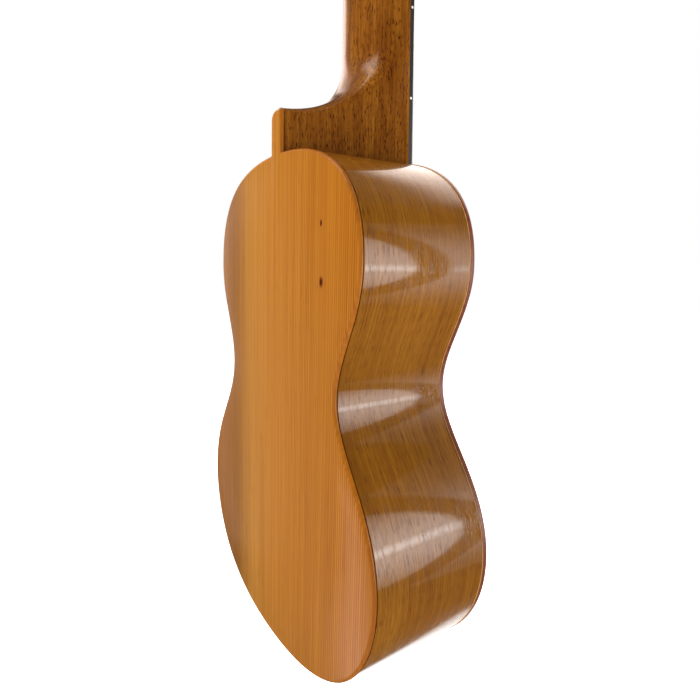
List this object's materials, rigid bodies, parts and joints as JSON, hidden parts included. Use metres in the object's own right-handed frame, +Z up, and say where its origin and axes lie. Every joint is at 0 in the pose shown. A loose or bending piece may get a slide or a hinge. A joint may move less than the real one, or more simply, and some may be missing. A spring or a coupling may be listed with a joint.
{
  "type": "charango",
  "caption": "Small plucked lute with a flat-backed waisted wooden box, fretted neck, double courses and geared tuners on a tilted headstock.",
  "frame": {"origin": "on the centre line at the nut's lower edge, on the face of the neck under the fretboard, where a wall hanger holds the neck under the headstock", "axes": "+Z up along the neck towards the headstock, soundboard and strings face -Y, back faces +Y, +X to the right seen from the front"},
  "size_m": [0.1736, 0.0718, 0.5839],
  "materials": {
    "soundboard_spruce": "gloss lacquer",
    "back_cedar": "satin-gloss lacquer",
    "side_walnut": "high-gloss lacquer",
    "inner_spruce": "bare",
    "rosette_wood": "lacquered inlay",
    "neck_mahogany": "gloss lacquer",
    "ebony": "oiled",
    "bone": "polished bone",
    "pearl": "polished pearl",
    "nickel_silver": "polished",
    "plated_brass": "gold plated",
    "button_pearl": "pearloid",
    "nylon_string": "clear nylon"
  },
  "bodies": {
    "root": {"soundboard": "soundboard_spruce", "back_plate": "back_cedar", "left_side": "side_walnut", "right_side": "side_walnut", "neck_block": "inner_spruce", "tail_block": "inner_spruce", "top_linings": "inner_spruce", "back_linings": "inner_spruce", "top_braces": "inner_spruce", "back_braces": "inner_spruce", "bridge_plate": "inner_spruce", "rosette": "rosette_wood", "bridge": "ebony", "saddle": "bone", "neck": "neck_mahogany", "headstock": "neck_mahogany", "headstock_veneer": "ebony", "fretboard": "ebony", "frets": "nickel_silver", "nut": "bone", "position_dots": "pearl", "left_tuner_plate": "plated_brass", "right_tuner_plate": "plated_brass", "tuner_plate_screws": "plated_brass", "post_bushings": "plated_brass", "course_1": "nylon_string", "course_2": "nylon_string", "course_3": "nylon_string", "course_4": "nylon_string", "course_5": "nylon_string"},
    "peg_1": {"post_1": "plated_brass"},
    "key_1": {"worm_1": "plated_brass", "button_1": "button_pearl"},
    "peg_2": {"post_2": "plated_brass"},
    "key_2": {"worm_2": "plated_brass", "button_2": "button_pearl"},
    "peg_3": {"post_3": "plated_brass"},
    "key_3": {"worm_3": "plated_brass", "button_3": "button_pearl"},
    "peg_4": {"post_4": "plated_brass"},
    "key_4": {"worm_4": "plated_brass", "button_4": "button_pearl"},
    "peg_5": {"post_5": "plated_brass"},
    "key_5": {"worm_5": "plated_brass", "button_5": "button_pearl"},
    "peg_6": {"post_6": "plated_brass"},
    "key_6": {"worm_6": "plated_brass", "button_6": "button_pearl"},
    "peg_7": {"post_7": "plated_brass"},
    "key_7": {"worm_7": "plated_brass", "button_7": "button_pearl"},
    "peg_8": {"post_8": "plated_brass"},
    "key_8": {"worm_8": "plated_brass", "button_8": "button_pearl"},
    "peg_9": {"post_9": "plated_brass"},
    "key_9": {"worm_9": "plated_brass", "button_9": "button_pearl"},
    "peg_10": {"post_10": "plated_brass"},
    "key_10": {"worm_10": "plated_brass", "button_10": "button_pearl"}
  },
  "joints": [
    {"name": "key_1_turn", "type": "hinge", "parent": "root", "child": "key_1", "pos_m": [-0.024, 0.02321, 0.01895], "axis": [1, 0, 0], "continuous": true},
    {"name": "peg_1_turn", "type": "hinge", "parent": "root", "child": "peg_1", "pos_m": [-0.024, 0.00653, 0.0302], "axis": [0, 0.9703, -0.2419], "continuous": true},
    {"name": "key_2_turn", "type": "hinge", "parent": "root", "child": "key_2", "pos_m": [-0.024, 0.02913, 0.04272], "axis": [1, 0, 0], "continuous": true},
    {"name": "peg_2_turn", "type": "hinge", "parent": "root", "child": "peg_2", "pos_m": [-0.024, 0.01246, 0.05397], "axis": [0, 0.9703, -0.2419], "continuous": true},
    {"name": "key_3_turn", "type": "hinge", "parent": "root", "child": "key_3", "pos_m": [-0.024, 0.03506, 0.0665], "axis": [1, 0, 0], "continuous": true},
    {"name": "peg_3_turn", "type": "hinge", "parent": "root", "child": "peg_3", "pos_m": [-0.024, 0.01839, 0.07774], "axis": [0, 0.9703, -0.2419], "continuous": true},
    {"name": "key_4_turn", "type": "hinge", "parent": "root", "child": "key_4", "pos_m": [-0.024, 0.04099, 0.09027], "axis": [1, 0, 0], "continuous": true},
    {"name": "peg_4_turn", "type": "hinge", "parent": "root", "child": "peg_4", "pos_m": [-0.024, 0.02431, 0.10151], "axis": [0, 0.9703, -0.2419], "continuous": true},
    {"name": "key_5_turn", "type": "hinge", "parent": "root", "child": "key_5", "pos_m": [-0.024, 0.04691, 0.11404], "axis": [1, 0, 0], "continuous": true},
    {"name": "peg_5_turn", "type": "hinge", "parent": "root", "child": "peg_5", "pos_m": [-0.024, 0.03024, 0.12529], "axis": [0, 0.9703, -0.2419], "continuous": true},
    {"name": "key_6_turn", "type": "hinge", "parent": "root", "child": "key_6", "pos_m": [0.024, 0.02321, 0.01895], "axis": [1, 0, 0], "continuous": true},
    {"name": "peg_6_turn", "type": "hinge", "parent": "root", "child": "peg_6", "pos_m": [0.024, 0.00653, 0.0302], "axis": [0, 0.9703, -0.2419], "continuous": true},
    {"name": "key_7_turn", "type": "hinge", "parent": "root", "child": "key_7", "pos_m": [0.024, 0.02913, 0.04272], "axis": [1, 0, 0], "continuous": true},
    {"name": "peg_7_turn", "type": "hinge", "parent": "root", "child": "peg_7", "pos_m": [0.024, 0.01246, 0.05397], "axis": [0, 0.9703, -0.2419], "continuous": true},
    {"name": "key_8_turn", "type": "hinge", "parent": "root", "child": "key_8", "pos_m": [0.024, 0.03506, 0.0665], "axis": [1, 0, 0], "continuous": true},
    {"name": "peg_8_turn", "type": "hinge", "parent": "root", "child": "peg_8", "pos_m": [0.024, 0.01839, 0.07774], "axis": [0, 0.9703, -0.2419], "continuous": true},
    {"name": "key_9_turn", "type": "hinge", "parent": "root", "child": "key_9", "pos_m": [0.024, 0.04099, 0.09027], "axis": [1, 0, 0], "continuous": true},
    {"name": "peg_9_turn", "type": "hinge", "parent": "root", "child": "peg_9", "pos_m": [0.024, 0.02431, 0.10151], "axis": [0, 0.9703, -0.2419], "continuous": true},
    {"name": "key_10_turn", "type": "hinge", "parent": "root", "child": "key_10", "pos_m": [0.024, 0.04691, 0.11404], "axis": [1, 0, 0], "continuous": true},
    {"name": "peg_10_turn", "type": "hinge", "parent": "root", "child": "peg_10", "pos_m": [0.024, 0.03024, 0.12529], "axis": [0, 0.9703, -0.2419], "continuous": true}
  ],
  "couplings": [
    {"joint": "peg_1_turn", "follows": "key_1_turn", "ratio": -0.071429},
    {"joint": "peg_2_turn", "follows": "key_2_turn", "ratio": -0.071429},
    {"joint": "peg_3_turn", "follows": "key_3_turn", "ratio": -0.071429},
    {"joint": "peg_4_turn", "follows": "key_4_turn", "ratio": -0.071429},
    {"joint": "peg_5_turn", "follows": "key_5_turn", "ratio": -0.071429},
    {"joint": "peg_6_turn", "follows": "key_6_turn", "ratio": -0.071429},
    {"joint": "peg_7_turn", "follows": "key_7_turn", "ratio": -0.071429},
    {"joint": "peg_8_turn", "follows": "key_8_turn", "ratio": -0.071429},
    {"joint": "peg_9_turn", "follows": "key_9_turn", "ratio": -0.071429},
    {"joint": "peg_10_turn", "follows": "key_10_turn", "ratio": -0.071429}
  ]
}
